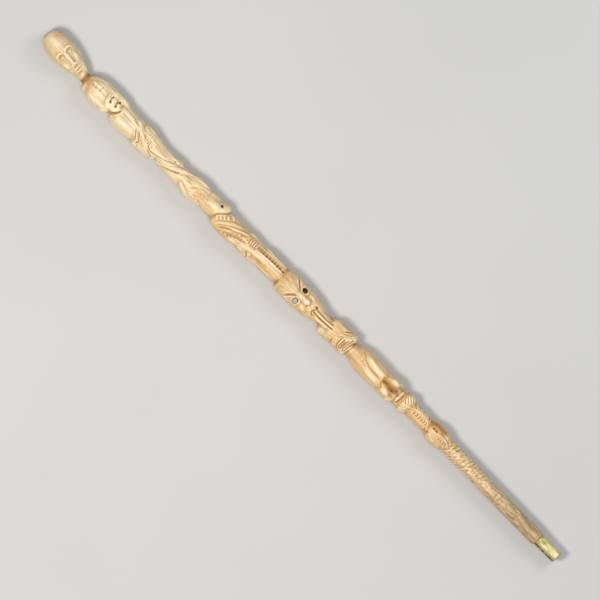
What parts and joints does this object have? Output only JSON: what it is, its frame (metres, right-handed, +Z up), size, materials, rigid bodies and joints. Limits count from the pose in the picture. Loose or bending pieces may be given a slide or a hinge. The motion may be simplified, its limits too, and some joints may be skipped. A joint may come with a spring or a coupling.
{
  "type": "carved staff",
  "caption": "Carved wooden walking staff with intertwined figures, a mask with shell-inlaid eyes, a plain lower shaft and a brass ferrule.",
  "frame": {"origin": "under the middle of the bounding box, on the surface that the staff lies on", "axes": "+X runs along the staff from the crown of the top head to the ferrule, +Z points up out of the carved face, and +Y is the side of the dark shell eye"},
  "size_m": [0.9144, 0.0378, 0.0323],
  "materials": {
    "pale_wood": "waxed pale hardwood, browner in the cuts",
    "brass": "worn, finely scratched",
    "dark_shell": "polished dark shell",
    "pale_shell": "polished silvery shell",
    "black_bead": "polished black"
  },
  "bodies": {
    "root": {"staff": "pale_wood", "ferrule": "brass", "mask_left_eye": "dark_shell", "mask_right_eye": "pale_shell", "serpent_eye": "black_bead", "crest_eye": "pale_shell"}
  },
  "joints": []
}
